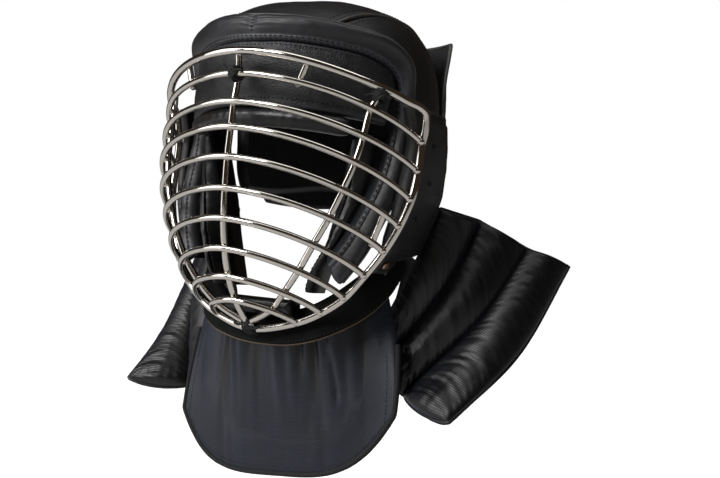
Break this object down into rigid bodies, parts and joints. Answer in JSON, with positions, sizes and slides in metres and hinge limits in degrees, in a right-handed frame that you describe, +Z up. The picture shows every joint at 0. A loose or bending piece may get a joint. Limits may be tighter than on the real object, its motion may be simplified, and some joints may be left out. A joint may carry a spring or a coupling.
{
  "type": "stick fighting helmet with face cage, throat bib and shoulder flaps",
  "caption": "Padded head guard with a welded steel bar cage over the face, a leather shell, a gathered satin throat bib and quilted shoulder flaps.",
  "frame": {"origin": "middle of the crown's inside, where the helmet rests on the top of the head", "axes": "+Z up, the face looks along -Y, +X is the wearer's left"},
  "size_m": [0.392, 0.2405, 0.4007],
  "materials": {
    "steel": "polished stainless steel",
    "leather": "fine-grained, slightly glossy",
    "satin": "satin weave with a blue-grey sheen",
    "lace": "braided lace",
    "lining": "dull, very dark green"
  },
  "bodies": {
    "root": {"face_cage": "steel", "tie_brow": "lace", "tie_temple": "lace", "tie_chin": "lace", "front_band": "leather", "crown_panel": "leather", "rear_panel": "leather", "forehead_panel": "leather", "brow_pad": "leather", "chin_pad": "leather", "chin_guard": "lining", "throat_bib": "satin", "bib_binding": "satin", "side_panel_right": "leather", "ear_panel_right": "leather", "rivet_right": "steel", "cheek_pad_right": "leather", "shoulder_flap_right": "satin", "side_panel_left": "leather", "ear_panel_left": "leather", "rivet_left": "steel", "cheek_pad_left": "leather", "shoulder_flap_left": "satin"}
  },
  "joints": []
}
